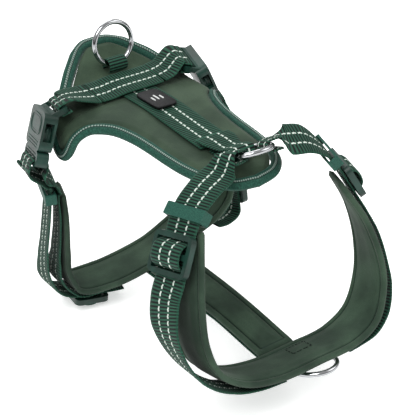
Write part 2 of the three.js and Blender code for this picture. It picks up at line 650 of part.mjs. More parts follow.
for (const [hand, { top, down, outward }] of Object.entries(BUCKLES)) {
  const group = seat(top, down.clone().negate(), outward);
  add(`buckle_housing_${hand}`, buckleHousing(), 'plastic', group);
  add(`buckle_plug_${hand}`, bucklePlug(), 'plastic', group);
  add(`buckle_arm_${hand}_${hand === 'left' ? 'rear' : 'front'}`, squeezeArm(false), 'plastic', group);
  add(`buckle_arm_${hand}_${hand === 'left' ? 'front' : 'rear'}`, squeezeArm(true), 'plastic', group);
  add(`cross_strap_end_${hand}`, strapFold(hand, group.matrix), 'webbing');
  add(`girth_webbing_${hand}`, girthWebbing(hand, group.matrix), 'webbing');
}

// Which stretch of the outer layer the keeper and the slider sit on, and where along it.
const GIRTH_FITTINGS = {
  left: { keeper: [1, 0.5], slider: [4, 0.3], outward: V(1, 0, 0) },
  right: { keeper: [2, 0.45], slider: [10, 0.5], outward: V(0, 0, -1) },
};
for (const [hand, places] of Object.entries(GIRTH_FITTINGS)) {
  const route = sided(GIRTH_OUTER[hand], 1);
  const at = ([k, f], across) => {
    const up = route[k].clone().sub(route[k + 1]);
    return [route[k].clone().lerp(route[k + 1], f), up, facing(up, across, places.outward)];
  };
  keeper(`girth_keeper_${hand}`, ...at(places.keeper, GIRTH_ACROSS[hand]));
  triGlide(`girth_${hand}`, ...at(places.slider, ALONG_Y));
}

export default harness;
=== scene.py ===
"""Looks of the no-pull dog harness: webbing, padding, binding, buckles and rings.

Routes and sizes are in millimetres from where the back straps cross, as in the CAD. ORIGIN
moves them to the frame's own origin, and new_mesh turns them into metres. The dog's head is
towards -Y, and its left side towards +X.
"""

import math

import bpy
import numpy as np
from mathutils import Matrix, Vector


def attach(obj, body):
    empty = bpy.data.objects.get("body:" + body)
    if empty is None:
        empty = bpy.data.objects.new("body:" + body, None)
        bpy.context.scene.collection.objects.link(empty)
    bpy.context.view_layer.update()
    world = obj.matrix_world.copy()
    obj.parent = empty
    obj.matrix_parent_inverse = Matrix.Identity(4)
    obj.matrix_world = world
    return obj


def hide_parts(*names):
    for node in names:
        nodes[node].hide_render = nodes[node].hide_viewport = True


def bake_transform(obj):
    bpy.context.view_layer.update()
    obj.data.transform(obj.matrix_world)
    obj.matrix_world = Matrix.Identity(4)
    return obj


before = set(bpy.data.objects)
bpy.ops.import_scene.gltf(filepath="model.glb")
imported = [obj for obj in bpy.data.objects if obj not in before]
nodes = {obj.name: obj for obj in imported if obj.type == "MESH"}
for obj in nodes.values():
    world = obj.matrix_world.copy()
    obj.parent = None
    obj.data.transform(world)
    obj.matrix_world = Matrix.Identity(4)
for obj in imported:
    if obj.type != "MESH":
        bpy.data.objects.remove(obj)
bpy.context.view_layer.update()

MM = 0.001
ORIGIN = np.array([0.0, 20.0, 2.5])
FINE_STEPS = 4001      # samples along a curve when its length is measured
NUDGE = 1e-4           # parameter step for a curve's direction

# ---- sizes, in millimetres -----------------------------------------------------------------
WEB = 25.0             # strap width
WEB_THICK = 1.7
TAB_WIDTH = 14.0       # folded tab of the rear ring
TAB_THICK = 1.2
TAB_RADIUS = 4.7
SADDLE_THICK = 4.5
BINDING_WIDTH = 6.5
BINDING_THICK = 5.7
PIPING_IN = 3.5        # line of piping, from the saddle's edge
CLEAR = 0.35           # air between webbing and slider
RIB_PITCH = 2.0
RIB_DEPTH = 0.34
DASH_ROW = 4.1         # reflective dashes, from the strap's middle
RING_WIRE = 1.7        # radius of the wire
GROOVE_IN = 4.0        # sewn channel, from a pad's edge
FRONT_RING = 14.0
REAR_RING = 14.4

Y = np.array([0.0, 1.0, 0.0])
X = np.array([1.0, 0.0, 0.0])


def vec(*values):
    """One point from numbers, or a table from rows."""
    return np.array(values, float)


def unit(v):
    """v at length 1."""
    return v / np.linalg.norm(v)


def smooth(low, high, value):
    """0 at low, 1 at high, with soft ends."""
    t = np.clip((np.asarray(value, float) - low) / (high - low), 0, 1)
    return t * t * (3 - 2 * t)


# ---- colours and materials -------------------------------------------------------------------
def rgb(r, g, b):
    """Linear colour from 0 to 255 display values."""
    def linear(c):
        c /= 255
        return c / 12.92 if c <= 0.04045 else ((c + 0.055) / 1.055) ** 2.4
    return (linear(r), linear(g), linear(b), 1.0)


class Shader:
    """A node material under construction."""

    def __init__(self, name, rough=0.6, metal=0.0, specular=0.2):
        self.mat = bpy.data.materials.new(name)
        self.mat.use_nodes = True
        self.tree = self.mat.node_tree
        self.bsdf = self.tree.nodes["Principled BSDF"]
        self.bsdf.inputs["Roughness"].default_value = rough
        self.bsdf.inputs["Metallic"].default_value = metal
        self.bsdf.inputs["Specular IOR Level"].default_value = specular

    def link(self, source, target):
        """Joins two sockets."""
        self.tree.links.new(source, target)

    def put(self, target, value):
        """Feeds a socket from another socket or a constant."""
        if isinstance(value, bpy.types.NodeSocket):
            self.link(value, target)
        else:
            target.default_value = value

    def math(self, operation, a, b=0.0):
        node = self.tree.nodes.new("ShaderNodeMath")
        node.operation = operation
        self.put(node.inputs[0], a)
        self.put(node.inputs[1], b)
        return node.outputs[0]

    def ramp(self, value, low, high):
        """0 below low, 1 above high, smooth between."""
        node = self.tree.nodes.new("ShaderNodeMapRange")
        node.interpolation_type = "SMOOTHSTEP"
        self.put(node.inputs["Value"], value)
        node.inputs["From Min"].default_value = low
        node.inputs["From Max"].default_value = high
        return node.outputs[0]

    def mix(self, factor, a, b):
        node = self.tree.nodes.new("ShaderNodeMix")
        node.data_type = "RGBA"
        self.put(node.inputs[0], factor)
        self.put(node.inputs[6], a)
        self.put(node.inputs[7], b)
        return node.outputs[2]

    def noise(self, scale, detail=3.0, vector=None):
        node = self.tree.nodes.new("ShaderNodeTexNoise")
        node.inputs["Scale"].default_value = scale
        node.inputs["Detail"].default_value = detail
        if vector is None:
            vector = self.tree.nodes.new("ShaderNodeTexCoord").outputs["Object"]
        self.link(vector, node.inputs["Vector"])
        return node.outputs["Fac"]

    def uv(self):
        """Along and across, in millimetres."""
        node = self.tree.nodes.new("ShaderNodeUVMap")
        split = self.tree.nodes.new("ShaderNodeSeparateXYZ")
        self.link(node.outputs[0], split.inputs[0])
        return split.outputs[0], split.outputs[1]

    def wave(self, value, pitch):
        """0 to 1 and back in each pitch."""
        angle = self.math("MULTIPLY", value, 2 * math.pi / pitch)
        return self.math("ADD", self.math("MULTIPLY", self.math("COSINE", angle), 0.5), 0.5)

    def finish(self, colour, height=None, distance=0.0002, rough=None, strength=1.0):
        self.put(self.bsdf.inputs["Base Color"], colour)
        if rough is not None:
            self.link(rough, self.bsdf.inputs["Roughness"])
        if height is not None:
            bump = self.tree.nodes.new("ShaderNodeBump")
            bump.inputs["Distance"].default_value = distance
            bump.inputs["Strength"].default_value = strength
            self.link(height, bump.inputs["Height"])
            self.link(bump.outputs[0], self.bsdf.inputs["Normal"])
        return self.mat


def webbing_material(name, dashes=True):
    """Painted shade, near black, in the gaps between ribs, with lighter ribs, selvage and yarns, and two
    rows of reflective dashes.
    """
    s = Shader(name, 0.72)
    s.bsdf.inputs["Sheen Weight"].default_value = 0.04
    s.bsdf.inputs["Sheen Roughness"].default_value = 0.5
    along, across = s.uv()
    rib = s.wave(along, RIB_PITCH)
    yarn = s.wave(s.math("ADD", across, s.math("MULTIPLY", along, 0.35)), 0.95)
    grain = s.noise(900)
    tone = s.noise(60)
    edge = s.ramp(s.math("ABSOLUTE", across), 10.9, 11.9)
    # Painted shade: rib gaps go near black, while rib crests and the plain selvage keep the lit colour.
    lit = s.math("MAXIMUM", s.ramp(rib, 0.22, 0.8), s.math("MULTIPLY", edge, 0.55))
    light = s.mix(tone, rgb(24, 66, 50), rgb(48, 100, 78))
    light = s.mix(s.math("MULTIPLY", s.ramp(yarn, 0.45, 0.05), 0.45), light, rgb(10, 40, 30))
    colour = s.mix(lit, rgb(3, 14, 11), light)
    row = s.math("SUBTRACT", s.math("ABSOLUTE", across), DASH_ROW)
    in_row = s.ramp(s.math("ABSOLUTE", row), 0.72, 0.5)
    phase = s.math("FRACT", s.math("DIVIDE", along, 2 * RIB_PITCH))
    in_dash = s.ramp(s.math("ABSOLUTE", s.math("SUBTRACT", phase, 0.5)), 0.37, 0.31)
    dash = s.math("MULTIPLY", in_row, in_dash)
    if dashes:
        colour = s.mix(dash, colour, s.mix(grain, rgb(182, 198, 186), rgb(232, 240, 232)))
    height = s.math("ADD", s.math("MULTIPLY", yarn, 0.6), s.math("MULTIPLY", grain, 0.5))
    height = s.math("ADD", height, s.math("MULTIPLY", dash, 1.2))
    return s.finish(colour, height, 0.00022)


def neoprene_material(name, dark, light, seam=False):
    """Matt knit over foam; where seam is set, painted shade darkens the sewn channel, with lighter thread
    stitches in it.
    """
    s = Shader(name, 0.82)
    s.bsdf.inputs["Sheen Weight"].default_value = 0.08
    s.bsdf.inputs["Sheen Roughness"].default_value = 0.45
    grain = s.noise(1500, 2.0)
    cloud = s.noise(38, 4.0)
    weave = s.tree.nodes.new("ShaderNodeTexVoronoi")
    weave.inputs["Scale"].default_value = 1300
    s.link(s.tree.nodes.new("ShaderNodeTexCoord").outputs["Object"], weave.inputs["Vector"])
    colour = s.mix(s.ramp(cloud, 0.32, 0.7), dark, light)
    colour = s.mix(s.math("MULTIPLY", s.ramp(grain, 0.35, 0.7), 0.3), colour, dark)
    height = s.math("ADD", s.math("MULTIPLY", grain, 0.7), s.math("MULTIPLY", weave.outputs[0], 0.5))
    if seam:
        along, edge = s.uv()
        # Painted shade along the sewn channel, with lighter thread stitches over it.
        line = s.ramp(s.math("ABSOLUTE", s.math("SUBTRACT", edge, GROOVE_IN)), 0.75, 0.15)
        thread = s.math("MULTIPLY", line, s.ramp(s.wave(along, 2.4), 0.1, 0.5))
        colour = s.mix(s.math("MULTIPLY", line, 0.75), colour, rgb(8, 16, 12))
        colour = s.mix(s.math("MULTIPLY", thread, 0.3), colour, rgb(40, 70, 58))
    return s.finish(colour, height, 0.00016, strength=0.7)


def binding_material(name):
    """Ribbed tape with a silvery line of piping between two creases darkened by painted shade."""
    s = Shader(name, 0.7)
    s.bsdf.inputs["Sheen Weight"].default_value = 0.05
    along, across = s.uv()
    grain = s.noise(1100)
    rib = s.wave(s.math("ADD", along, s.math("MULTIPLY", across, 0.6)), 0.9)
    middle = s.math("ABSOLUTE", s.math("SUBTRACT", across, PIPING_IN))
    # Painted shade in the two creases beside the piping.
    crease_shade = s.ramp(middle, 1.05, 0.8)
    piping = s.ramp(middle, 0.75, 0.55)
    teal = s.mix(s.ramp(grain, 0.3, 0.75), rgb(22, 60, 50), rgb(42, 92, 76))
    teal = s.mix(s.math("MULTIPLY", rib, 0.25), teal, rgb(12, 38, 32))
    silver = s.mix(s.ramp(s.wave(along, 1.6), 0.2, 0.6), rgb(52, 84, 74), rgb(140, 156, 148))
    colour = s.mix(crease_shade, teal, rgb(10, 34, 28))
    colour = s.mix(piping, colour, silver)
    height = s.math("ADD", s.math("MULTIPLY", rib, 0.6), s.math("MULTIPLY", grain, 0.5))
    return s.finish(colour, height, 0.00015)


def plastic_material(name, dark, light):
    """Moulded acetal with a faint grain."""
    s = Shader(name, 0.42, specular=0.4)
    grain = s.noise(2600, 2.0)
    cloud = s.noise(70, 3.0)
    colour = s.mix(s.ramp(cloud, 0.35, 0.7), dark, light)
    rough = s.math("ADD", s.math("MULTIPLY", grain, 0.18), 0.34)
    return s.finish(colour, grain, 0.00004, rough)


def rubber_material(name, dark, light):
    """Matt rubber, thread or print, told apart by colour."""
    s = Shader(name, 0.55)
    grain = s.noise(1800, 3.0)
    colour = s.mix(s.ramp(grain, 0.35, 0.7), dark, light)
    return s.finish(colour, grain, 0.00006)


def chrome_material(name):
    """Polished steel with slight smears."""
    s = Shader(name, 0.08, 1.0, 0.5)
    cloud = s.noise(90, 3.0)
    colour = s.mix(cloud, rgb(150, 152, 154), rgb(196, 198, 200))
    rough = s.math("ADD", s.math("MULTIPLY", s.noise(700, 2.0), 0.08), 0.05)
    return s.finish(colour, cloud, 0.00003, rough)


LOOKS = {
    "webbing": webbing_material("ribbed webbing"),
    "plain_webbing": webbing_material("ribbed webbing without dashes", dashes=False),
    "neoprene": neoprene_material("pad neoprene", rgb(38, 54, 43), rgb(60, 80, 64), seam=True),
    "saddle": neoprene_material("saddle fabric", rgb(44, 60, 47), rgb(64, 82, 64)),
    "binding": binding_material("edge binding"),
    "keeper": rubber_material("keeper rubber", rgb(28, 68, 58), rgb(44, 92, 78)),
    "plastic": plastic_material("buckle acetal", rgb(10, 38, 30), rgb(24, 60, 50)),
    "recess": plastic_material("shadowed acetal", rgb(16, 36, 32), rgb(26, 50, 44)),
    "chrome": chrome_material("polished steel"),
    "label": rubber_material("label rubber", rgb(12, 13, 14), rgb(28, 29, 31)),
    "mark": rubber_material("label print", rgb(205, 208, 206), rgb(236, 238, 236)),
    "thread": rubber_material("stitching thread", rgb(36, 84, 68), rgb(74, 128, 108)),
    "seam": rubber_material("pad seam thread", rgb(10, 20, 15), rgb(26, 44, 34)),
}


# ---- meshes --------------------------------------------------------------------------------------
def new_mesh(name, verts, faces, look, uvs=None):
    """An object from points in millimetres in the row frame, smooth shaded."""
    mesh = bpy.data.meshes.new(name)
    mesh.from_pydata((np.asarray(verts) * MM).tolist(), [], faces)
    mesh.validate()
    mesh.shade_smooth()
    if uvs is not None:
        layer = mesh.uv_layers.new(name="UVMap")
        loops = np.zeros(len(mesh.loops), np.int32)
        mesh.loops.foreach_get("vertex_index", loops)
        layer.data.foreach_set("uv", np.asarray(uvs, np.float32)[loops].ravel())
    mesh.materials.append(LOOKS[look])
    obj = bpy.data.objects.new(name, mesh)
    bpy.context.scene.collection.objects.link(obj)
    return obj


def tube_faces(rows, ring, closed=False):
    """Quads between rows of ring points each, with end caps unless the rows close."""
    faces = []
    spans = rows if closed else rows - 1
    for i in range(spans):
        for k in range(ring):
            a = i * ring + k
            b = i * ring + (k + 1) % ring
            c = (i + 1) % rows * ring + (k + 1) % ring
            d = (i + 1) % rows * ring + k
            faces.append((a, b, c, d))
    if not closed:
        faces.append(tuple(range(ring - 1, -1, -1)))
        faces.append(tuple((rows - 1) * ring + k for k in range(ring)))
    return faces


def catmull(points, t):
    """Centripetal Catmull-Rom through the points, at parameters t from 0 to 1."""
    p = np.asarray(points, float)
    n = len(p)
    grown = np.vstack([2 * p[0] - p[1], p, 2 * p[-1] - p[-2]])
    place = np.clip(t, 0, 1) * (n - 1)
    k = np.minimum(place.astype(int), n - 2)
    w = (place - k)[:, None]
    p0, p1, p2, p3 = (grown[k + j] for j in range(4))
    pairs = ((p0, p1), (p1, p2), (p2, p3))
    gaps = [np.maximum(np.sum((b - a) ** 2, 1), 1e-16) ** 0.25 for a, b in pairs]
    d0, d1, d2 = (g[:, None] for g in gaps)
    t1 = ((p1 - p0) / d0 - (p2 - p0) / (d0 + d1) + (p2 - p1) / d1) * d1
    t2 = ((p2 - p1) / d1 - (p3 - p1) / (d1 + d2) + (p3 - p2) / d2) * d1
    return p1 + t1 * w + (3 * (p2 - p1) - 2 * t1 - t2) * w ** 2 + (2 * (p1 - p2) + t1 + t2) * w ** 3


def pick(values, t):
    """values, one at each route point or one for all, read off at parameters t."""
    v = np.asarray(values, float)
    if v.ndim == 0:
        return np.full(len(t), float(v))
    if v.ndim == 1 and len(v) == 3 and not isinstance(values, list):
        return np.tile(v, (len(t), 1))
    spot = np.linspace(0, 1, len(v))
    if v.ndim == 1:
        return np.interp(t, spot, v)
    return np.stack([np.interp(t, spot, v[:, c]) for c in range(3)], 1)


def walk(points, wide, step):
    """Even steps along a route: place, width direction, outward normal, distance and parameter."""
    fine = np.linspace(0, 1, FINE_STEPS)
    places = catmull(points, fine)
    run = np.concatenate([[0], np.cumsum(np.linalg.norm(np.diff(places, axis=0), axis=1))])
    count = max(int(round(run[-1] / step)), 4)
    along = np.linspace(0, run[-1], count + 1)
    t = np.interp(along, run, fine)
    centre = catmull(points, t)
    ahead = catmull(points, t + NUDGE) - catmull(points, t - NUDGE)
    ahead /= np.linalg.norm(ahead, axis=1)[:, None]
    across = pick(wide, t)
    across = across - ahead * np.sum(across * ahead, 1)[:, None]
    across /= np.linalg.norm(across, axis=1)[:, None]
    return centre, across, np.cross(ahead, across), along, t


WEB_COLUMNS = 19


def webbing(name, points, wide, width=WEB, thick=WEB_THICK, look="webbing", step=0.5, start=0.0):
    """Woven strap with cross ribs, a plain selvage at each edge and slightly rounded sides."""
    centre, across, up, along, t = walk(points, wide, step)
    half = pick(width, t) / 2
    side = np.linspace(-1, 1, WEB_COLUMNS)
    rows = len(along)
    wave = 0.5 - 0.5 * np.cos(2 * np.pi * (along + start) / RIB_PITCH)
    shape = 1 - np.abs(side) ** 14 * 0.55
    inner = smooth(1.0, 0.9, np.abs(side))
    verts = np.zeros((rows, 2 * len(side), 3))
    uvs = np.zeros((rows, 2 * len(side), 2))
    for k, s in enumerate(side):
        high = thick / 2 * shape[k] - RIB_DEPTH * inner[k] * wave
        spot = centre + across * (half * s)[:, None]
        verts[:, k] = spot + up * high[:, None]
        verts[:, -1 - k] = spot - up * high[:, None]
        for j in (k, 2 * len(side) - 1 - k):
            uvs[:, j, 0] = along + start
            uvs[:, j, 1] = half * s
    faces = tube_faces(rows, 2 * len(side))
    return new_mesh(name, verts.reshape(-1, 3) + ORIGIN, faces, look, uvs.reshape(-1, 2))


# ---- saddle ----------------------------------------------------------------------------------------
# Height of the top face along the spine, as [y, z].
SADDLE_PROFILE = vec(
    [-150, -10.5], [-143, -9], [-132, -6.6], [-118, -4.6], [-100, -3.4], [-80, -2], [-58, 0],
    [-42, 1.6], [-34, 2], [-22, 2], [-8, 2], [-2, 2.3], [8, 3.6], [15, 6.2], [25, 13.6], [35, 20.6],
    [48, 25],
)
# Half of the pad's outline, as [distance over the pad from the middle line, y].
SADDLE_OUTLINE = vec(
    [0, 44], [10, 43], [19, 38], [31, 28], [43, 17], [53, 9], [62, 3.5], [72, -1], [80, -7],
    [82.5, -14], [79, -21.5], [70, -27.5], [60, -31], [50, -35.5], [43, -44], [38.5, -58],
    [36.5, -74], [35.5, -92], [34, -106], [31, -118], [25.5, -129], [16, -137], [0, -140.5],
)
# Where each flank starts to bend down, the bend's radius and its angle, by side.
DRAPE = {1: (41, 9, 1.6), -1: (48, 14, 1.45)}


def on_saddle(s, y, lift):
    """Places on the saddle's top face, lift above it."""
    s, y, lift = np.broadcast_arrays(*(np.asarray(v, float) for v in (s, y, lift)))
    hand = np.where(s > 0, 1.0, -1.0)
    start, radius, angle = (np.where(s > 0, DRAPE[1][k], DRAPE[-1][k]) for k in range(3))
    reach = np.abs(s)
    bend = np.minimum(np.maximum(reach - start, 0) / radius, angle)
    hang = np.maximum(reach - start - angle * radius, 0)
    roll = smooth(24, 60, reach)
    sag = 3.5 * roll * (1 - smooth(10, 28, y)) - 4 * roll * smooth(14, 30, y)
    x = np.minimum(reach, start) + radius * np.sin(bend) + hang * np.cos(angle)
    drop = radius * (1 - np.cos(bend)) + hang * np.sin(angle)
    z = np.interp(y, SADDLE_PROFILE[:, 0], SADDLE_PROFILE[:, 1]) - sag - drop
    x = x + np.sin(bend) * lift
    z = z + np.cos(bend) * lift
    return np.stack([hand * x, y, z], -1)


def saddle_outline(count, inset):
    """Even places round half of the outline, moved inward."""
    flat = np.column_stack([SADDLE_OUTLINE, np.zeros(len(SADDLE_OUTLINE))])
    fine = np.linspace(0, 1, FINE_STEPS)
    places = catmull(flat, fine)
    run = np.concatenate([[0], np.cumsum(np.linalg.norm(np.diff(places, axis=0), axis=1))])
    t = np.interp(np.linspace(0, run[-1], count + 1), run, fine)
    spot = catmull(flat, t)
    ahead = catmull(flat, t + NUDGE) - catmull(flat, t - NUDGE)
    ahead /= np.linalg.norm(ahead, axis=1)[:, None]
    moved = spot + np.column_stack([ahead[:, 1], -ahead[:, 0], ahead[:, 2]]) * inset
    return moved[:, :2], np.linspace(0, run[-1], count + 1)


def saddle_pad():
    """The padded panel inside the binding: crowned, and tucked down at its edge."""
    rows, _ = saddle_outline(150, BINDING_WIDTH + 1.0)
    rows = rows[rows[:, 0] > 2.5]
    columns = 64
    share = np.linspace(-1, 1, columns + 1)
    verts, uvs = [], []
    for level in (0, 1):
        s = rows[:, :1] * share[None, :]
        y = np.repeat(rows[:, 1:], columns + 1, 1)
        from_ends = np.minimum(y - rows[:, 1].min(), rows[:, 1].max() - y)
        edge = np.minimum(rows[:, :1] * (1 - np.abs(share))[None, :], from_ends)
        tuck = 1.5 * (1 - smooth(0, 4, edge)) - 0.1
        lift = -tuck if level == 0 else -SADDLE_THICK + tuck
        verts.append(on_saddle(s, y, lift).reshape(-1, 3))
        uvs.append(np.stack([s, y], -1).reshape(-1, 2))
    n, m = len(rows), columns + 1
    top = lambda i, k: i * m + k
    low = lambda i, k: n * m + i * m + k
    faces = []
    for i in range(n - 1):
        for k in range(columns):
            faces.append((top(i, k), top(i + 1, k), top(i + 1, k + 1), top(i, k + 1)))
            faces.append((low(i, k), low(i, k + 1), low(i + 1, k + 1), low(i + 1, k)))
    for i in range(n - 1):
        faces.append((top(i, 0), low(i, 0), low(i + 1, 0), top(i + 1, 0)))
        faces.append((top(i, columns), top(i + 1, columns), low(i + 1, columns), low(i, columns)))
    for k in range(columns):
        faces.append((top(0, k), top(0, k + 1), low(0, k + 1), low(0, k)))
        faces.append((top(n - 1, k), low(n - 1, k), low(n - 1, k + 1), top(n - 1, k + 1)))
    return new_mesh("saddle_cushion", np.vstack(verts) + ORIGIN, faces, "saddle", np.vstack(uvs))


def saddle_binding():
    """Folded edge tape: round outer edge, flat faces and a raised line of piping on top."""
    count = 300
    profile = []
    for w in np.linspace(0, BINDING_WIDTH, 27):
        high = BINDING_THICK / 2 * (1 - (1 - min(w / 2.6, 1)) ** 2.2)
        high -= 0.45 * smooth(BINDING_WIDTH - 1, BINDING_WIDTH, w)
        pipe = 0.5 * math.exp(-((w - PIPING_IN) / 0.55) ** 2)
        crease = 0.4 * math.exp(-((abs(w - PIPING_IN) - 1.05) / 0.35) ** 2)
        profile.append((w, max(float(high), 0.2), pipe - crease))
    halves = []
    for hand in (1, -1):
        lines = [saddle_outline(count, w)[0] for w, _, _ in profile]
        run = saddle_outline(count, 0)[1]
        top = [(w, -SADDLE_THICK / 2 + h + extra) for w, h, extra in profile]
        low = [(w, -SADDLE_THICK / 2 - h) for w, h, _ in reversed(profile)]
        ring = []
        for index, (w, lift) in enumerate(top + low):
            k = index if index < len(profile) else 2 * len(profile) - 1 - index
            line = lines[k]
            s = hand * np.maximum(line[:, 0], 0.0001)
            ring.append((on_saddle(s, line[:, 1], lift), w))
        halves.append((ring, run if hand > 0 else 2 * run[-1] - run))
    verts, uvs = [], []
    for half, (ring, run) in enumerate(halves):
        order = range(count) if half == 0 else range(count, 0, -1)
        for i in order:
            for places, w in ring:
                verts.append(places[i])
                uvs.append((run[i], w))
    faces = tube_faces(2 * count, len(halves[0][0]), closed=True)
    return new_mesh("saddle_edge_tape", np.array(verts) + ORIGIN, faces, "binding", uvs)


def show(obj, body, *replaced):
    """Makes a piece ride on a body and stand for CAD nodes."""
    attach(obj, body)
    if replaced:
        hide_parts(*replaced)
    return obj


cushion = saddle_pad()
show(cushion, "harness", "saddle_pad")
show(saddle_binding(), "harness", "saddle_binding")

# ---- straps on the back ----------------------------------------------------------------------------
CROSS_WIDE = vec(0, 1, 0.12)
CROSS_ROUTE = vec(
    [18.5, -2.6, 7.3], [12.5, -2.6, 7.1], [6, -2.6, 7.1], [0, -2.6, 7.2],
    [-12.5, -2.6, 6.9], [-21, -2.6, 5.9], [-29, -2.6, 6],
)
SPINE_ROUTE = vec(
    [0, -3, 3.8], [0, -14, 3.3], [0, -34, 3.3], [0, -58, 1.7], [0, -80, 0], [0, -97, -0.9],
)
NECK_RING = vec(0, -129, 7)
NECK_TILT = 0.42
CHEST_RING = vec(10, -184, -121.4)
CHEST_TILT = 0.25

show(webbing("cross_webbing", CROSS_ROUTE, CROSS_WIDE), "harness", "cross_strap")
show(webbing("spine_webbing", SPINE_ROUTE, X), "harness", "spine_strap")


def tilted(v, tilt):
    """v turned about X by minus tilt."""
    c, s = math.cos(tilt), math.sin(tilt)
    return vec(v[0], c * v[1] + s * v[2], c * v[2] - s * v[1])


def ring_loop(centre, tilt, angle, half_width):
    """Route of a loop of strap round a ring's wire, and its width direction."""
    place = lambda r, h: tilted((r * math.cos(angle), r * math.sin(angle), h), tilt) + centre
    turn = math.sqrt((FRONT_RING - RING_WIRE) ** 2 - half_width ** 2) - WEB_THICK / 2 - 0.8
    over = RING_WIRE + WEB_THICK / 2 + 0.7
    far = FRONT_RING + 5
    near = FRONT_RING - 1
    points = [
        place(far, over), place(near, over), place(turn + 1, over * 0.7), place(turn, 0),
        place(turn + 1, -over * 0.7), place(near, -over), place(far, -over),
    ]
    return points, tilted((-math.sin(angle), math.cos(angle), 0), tilt)


END_LOOP = 18.0
SIDE_LOOP = 14.0
loop, sideways = ring_loop(NECK_RING, NECK_TILT, math.pi / 2, END_LOOP / 2)
route = [vec(0, -92, 2.4), vec(0, -99, 2.6), *loop[:6], vec(0, -110, -2.3), vec(0, -101, -2)]
widths = [WEB] * 2 + [END_LOOP] * (len(route) - 2)
show(webbing("spine_end_loop", route, sideways, widths, start=1.0), "harness", "spine_loop")

loop, sideways = ring_loop(CHEST_RING, CHEST_TILT, math.pi / 2, END_LOOP / 2)
route = [*loop[:6], (loop[5] + loop[6]) / 2, vec(CHEST_RING[0], -164.8, -125.8)]
show(webbing("chest_ring_loop", route, sideways, END_LOOP), "harness", "chest_ring_tab")

REAR_PIVOT = vec(0, 15, 13)
REAR_LEAN = 0.1
angles = np.radians(245 - 285 * np.arange(13) / 12)
route = np.column_stack([0 * angles, np.cos(angles), np.sin(angles)]) * TAB_RADIUS + REAR_PIVOT
piece = webbing("rear_ring_fold", route, X, TAB_WIDTH, TAB_THICK, "plain_webbing", 0.4)
show(piece, "harness", "rear_ring_tab")

# ---- shoulder straps -------------------------------------------------------------------------------
SHOULDER = {
    "right": vec(
        [25, -132.5, 2.6], [38, -136, -1.6], [50.5, -139.5, -8], [58, -142, -15.4],
        [66.7, -146.4, -31], [73.3, -149.8, -43], [80, -153.2, -55], [84.5, -160, -69],
        [82, -167, -84], [73, -174, -99], [57, -177, -111.5], [38, -178, -117.6],
        [18, -178.5, -119.6],
    ) * vec(-1, 1, 1),
    "left": vec(
        [25, -134, 9.4], [37, -136.5, 7], [48, -139.5, -1], [54.5, -141.2, -9.5],
        [60.3, -143.6, -20], [66.9, -146.4, -32], [74, -149.6, -45], [78.6, -155, -58],
        [80, -163, -76], [78, -170, -92], [71, -175, -106], [57, -177.5, -117.4],
        [43, -178, -120], [33, -178.5, -120.4],
    ),
}
SHOULDER_WIDE = {"left": vec(0.33, 0.94, 0), "right": vec(0, 1, 0)}
SHOULDER_ROLL = {"left": (0.4, 0.32, 0.1), "right": (0, 0, 0)}
UNDER_CHEST = vec(0, 1, -0.2)

LOOP_POINTS = 7        # points of ring_loop's route
for hand, angle in (("left", -0.2), ("right", math.pi + 0.2)):
    loop, sideways = ring_loop(NECK_RING, NECK_TILT, angle, SIDE_LOOP / 2)
    sideways = sideways if sideways[1] > 0 else -sideways
    route = [*loop[::-1], *SHOULDER[hand]]
    last = len(route) - 1
    wide = [sideways] * LOOP_POINTS
    wide += [SHOULDER_WIDE[hand] + vec(0, 0, roll) for roll in SHOULDER_ROLL[hand]]
    wide += [SHOULDER_WIDE[hand]] * (last - 12) + [UNDER_CHEST] * 3
    widths = [SIDE_LOOP if k < LOOP_POINTS else WEB for k in range(last + 1)]
    show(webbing(f"shoulder_webbing_{hand}", route, wide, widths), "harness", f"shoulder_strap_{hand}")


# ---- padding ------------------------------------------------------------------------------------------
PUFF_FRAMES = 14
PUFF_PRESSURE = 4
PUFF_CAP = 0.55        # how far the foam may swell


def pad(name, points, wide, width, body, replaced):
    """A foam strip: rolled rim, sewn channel, crowned middle swollen by a cloth simulation."""
    centre, across, up, along, t = walk(points, wide, 1.6)
    half = pick(width, t) / 2
    rim_share = np.linspace(0.66, 1, 20)[1:]
    share = np.concatenate([np.linspace(-1, -0.66, 20)[:-1], np.linspace(-0.66, 0.66, 19), rim_share])
    rows = len(along)
    ring = 2 * len(share)
    verts = np.zeros((rows, ring, 3))
    uvs = np.zeros((rows, ring, 2))
    held = np.zeros((rows, ring))
    end = np.minimum(along, along[-1] - along)
    for k, f in enumerate(share):
        edge = np.minimum(half * (1 - abs(f)), end)
        rim = 1.55 * np.sqrt(np.clip(1 - (1 - np.clip(edge / 1.9, 0, 1)) ** 2, 0, 1)) + 0.25
        crown = 0.75 * smooth(GROOVE_IN, GROOVE_IN + 7, edge)
        channel = 1.35 * np.exp(-((edge - GROOVE_IN) / 0.6) ** 2)
        high = rim + 0.1 + crown - channel
        spot = centre + across * (half * f)[:, None]
        for j, side in ((k, 1), (ring - 1 - k, -1)):
            verts[:, j] = spot + side * up * high[:, None]
            uvs[:, j] = np.stack([along, edge], -1)
            held[:, j] = (edge < GROOVE_IN + 0.8)
    places = verts.reshape(-1, 3) + ORIGIN
    obj = new_mesh(name, places, tube_faces(rows, ring), "neoprene", uvs.reshape(-1, 2))
    puff(obj, held.ravel())
    return show(obj, body, replaced)


